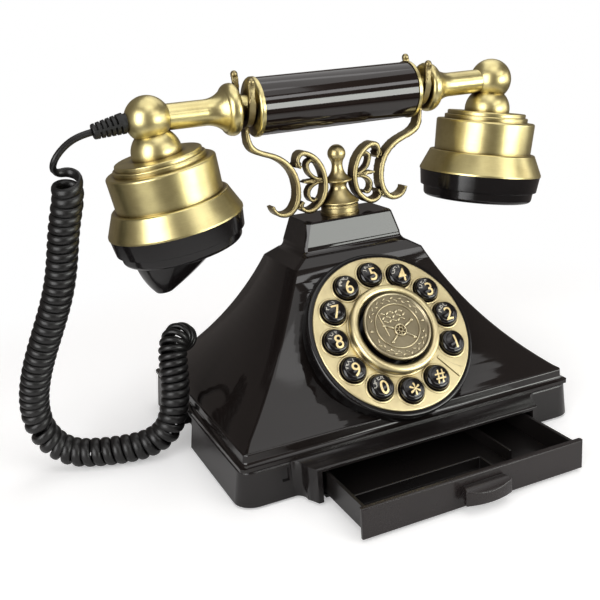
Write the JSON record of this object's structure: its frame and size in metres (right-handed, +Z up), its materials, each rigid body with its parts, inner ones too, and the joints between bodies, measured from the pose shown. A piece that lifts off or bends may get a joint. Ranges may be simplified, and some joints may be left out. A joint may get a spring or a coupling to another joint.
{
  "type": "desk telephone",
  "caption": "Antique-style desk telephone with a push-button dial ring, a horizontal handset on a scroll-arm cradle, a curly cord and a stationery drawer in the plinth.",
  "frame": {"origin": "bottom centre of the telephone's box without its cord, on the table plane", "axes": "+Z up, +X to the right of a person facing the dial, the dial and drawer face -Y"},
  "size_m": [0.2789, 0.1904, 0.1783],
  "materials": {
    "gloss_black": "high-gloss black-brown lacquered plastic",
    "satin_charcoal": "satin charcoal moulded plastic",
    "drawer_plastic": "plain matte black moulded plastic",
    "antique_brass": "antique brushed brass with brown patina",
    "dial_brass": "satin brass with a bright bevelled edge",
    "medallion_bronze": "dark cast bronze",
    "handset_black": "polished black-brown plastic",
    "key_black": "glossy black with pale gold printed figures",
    "cord_black": "satin black vinyl",
    "plug_black": "glossy black",
    "foot_rubber": "matt rubber",
    "bare_steel": "plated steel",
    "circuit_board": "green solder mask",
    "inner_plastic": "plain moulded plastic"
  },
  "bodies": {
    "base": {"upper_housing": "gloss_black", "plinth": "satin_charcoal", "bottom_plate": "inner_plastic", "chassis_deck": "inner_plastic", "rubber_feet": "foot_rubber", "base_screws": "bare_steel", "dial_housing": "gloss_black", "dial_plate": "dial_brass", "dial_medallion": "medallion_bronze", "medallion_seat": "medallion_bronze", "finger_stop": "antique_brass", "keypad_mat": "foot_rubber", "keypad_board": "circuit_board", "main_board": "circuit_board", "ringer_buzzer": "inner_plastic", "hook_guide": "inner_plastic", "cradle_collar": "antique_brass", "handset_jack": "inner_plastic", "line_jack": "inner_plastic", "ringer_switch_body": "inner_plastic", "hook_spring": "bare_steel", "cord_coil": "cord_black", "cord_lower": "cord_black", "cord_plug": "plug_black"},
    "ringer_switch": {"ringer_switch_knob": "inner_plastic"},
    "drawer": {"drawer_tray": "drawer_plastic", "drawer_front": "satin_charcoal", "drawer_pull": "satin_charcoal"},
    "cradle": {"cradle_column": "antique_brass", "cradle_finial": "antique_brass", "cradle_arm_left": "antique_brass", "cradle_arm_right": "antique_brass", "hook_plunger": "bare_steel"},
    "handset": {"grip_sleeve": "handset_black", "grip_caps": "antique_brass", "handset_arms": "antique_brass", "ball_elbows": "antique_brass", "cup_necks": "antique_brass", "transmitter_shell": "antique_brass", "receiver_shell": "antique_brass", "transmitter_cap": "handset_black", "receiver_cap": "handset_black", "mouth_horn": "handset_black", "microphone_capsule": "inner_plastic", "receiver_capsule": "inner_plastic", "strain_relief": "cord_black", "cord_upper": "cord_black"},
    "key_1": {"key_1": "key_black"},
    "key_2": {"key_2": "key_black"},
    "key_3": {"key_3": "key_black"},
    "key_4": {"key_4": "key_black"},
    "key_5": {"key_5": "key_black"},
    "key_6": {"key_6": "key_black"},
    "key_7": {"key_7": "key_black"},
    "key_8": {"key_8": "key_black"},
    "key_9": {"key_9": "key_black"},
    "key_0": {"key_0": "key_black"},
    "key_star": {"key_star": "key_black"},
    "key_hash": {"key_hash": "key_black"}
  },
  "joints": [
    {"name": "drawer_slide", "type": "slide", "parent": "base", "child": "drawer", "axis": [0, -1, 0], "range_m": [-0.0344, 0.026]},
    {"name": "handset_lift", "type": "slide", "parent": "base", "child": "handset", "axis": [0, 0, 1], "range_m": [0, 0.06]},
    {"name": "cradle_travel", "type": "slide", "parent": "base", "child": "cradle", "axis": [0, 0, 1], "range_m": [0, 0.004], "deforming": ["hook_spring"]},
    {"name": "ringer_switch_slide", "type": "slide", "parent": "base", "child": "ringer_switch", "axis": [1, 0, 0], "range_m": [0, 0.004]},
    {"name": "key_1_press", "type": "slide", "parent": "base", "child": "key_1", "axis": [0, 0.7716, -0.6361], "range_m": [0, 0.0015], "stiffness_N_per_m": 300},
    {"name": "key_2_press", "type": "slide", "parent": "base", "child": "key_2", "axis": [0, 0.7716, -0.6361], "range_m": [0, 0.0015], "stiffness_N_per_m": 300},
    {"name": "key_3_press", "type": "slide", "parent": "base", "child": "key_3", "axis": [0, 0.7716, -0.6361], "range_m": [0, 0.0015], "stiffness_N_per_m": 300},
    {"name": "key_4_press", "type": "slide", "parent": "base", "child": "key_4", "axis": [0, 0.7716, -0.6361], "range_m": [0, 0.0015], "stiffness_N_per_m": 300},
    {"name": "key_5_press", "type": "slide", "parent": "base", "child": "key_5", "axis": [0, 0.7716, -0.6361], "range_m": [0, 0.0015], "stiffness_N_per_m": 300},
    {"name": "key_6_press", "type": "slide", "parent": "base", "child": "key_6", "axis": [0, 0.7716, -0.6361], "range_m": [0, 0.0015], "stiffness_N_per_m": 300},
    {"name": "key_7_press", "type": "slide", "parent": "base", "child": "key_7", "axis": [0, 0.7716, -0.6361], "range_m": [0, 0.0015], "stiffness_N_per_m": 300},
    {"name": "key_8_press", "type": "slide", "parent": "base", "child": "key_8", "axis": [0, 0.7716, -0.6361], "range_m": [0, 0.0015], "stiffness_N_per_m": 300},
    {"name": "key_9_press", "type": "slide", "parent": "base", "child": "key_9", "axis": [0, 0.7716, -0.6361], "range_m": [0, 0.0015], "stiffness_N_per_m": 300},
    {"name": "key_0_press", "type": "slide", "parent": "base", "child": "key_0", "axis": [0, 0.7716, -0.6361], "range_m": [0, 0.0015], "stiffness_N_per_m": 300},
    {"name": "key_star_press", "type": "slide", "parent": "base", "child": "key_star", "axis": [0, 0.7716, -0.6361], "range_m": [0, 0.0015], "stiffness_N_per_m": 300},
    {"name": "key_hash_press", "type": "slide", "parent": "base", "child": "key_hash", "axis": [0, 0.7716, -0.6361], "range_m": [0, 0.0015], "stiffness_N_per_m": 300}
  ],
  "couplings": [
    {"joint": "cradle_travel", "follows": "handset_lift", "ratio": 0.066667}
  ]
}
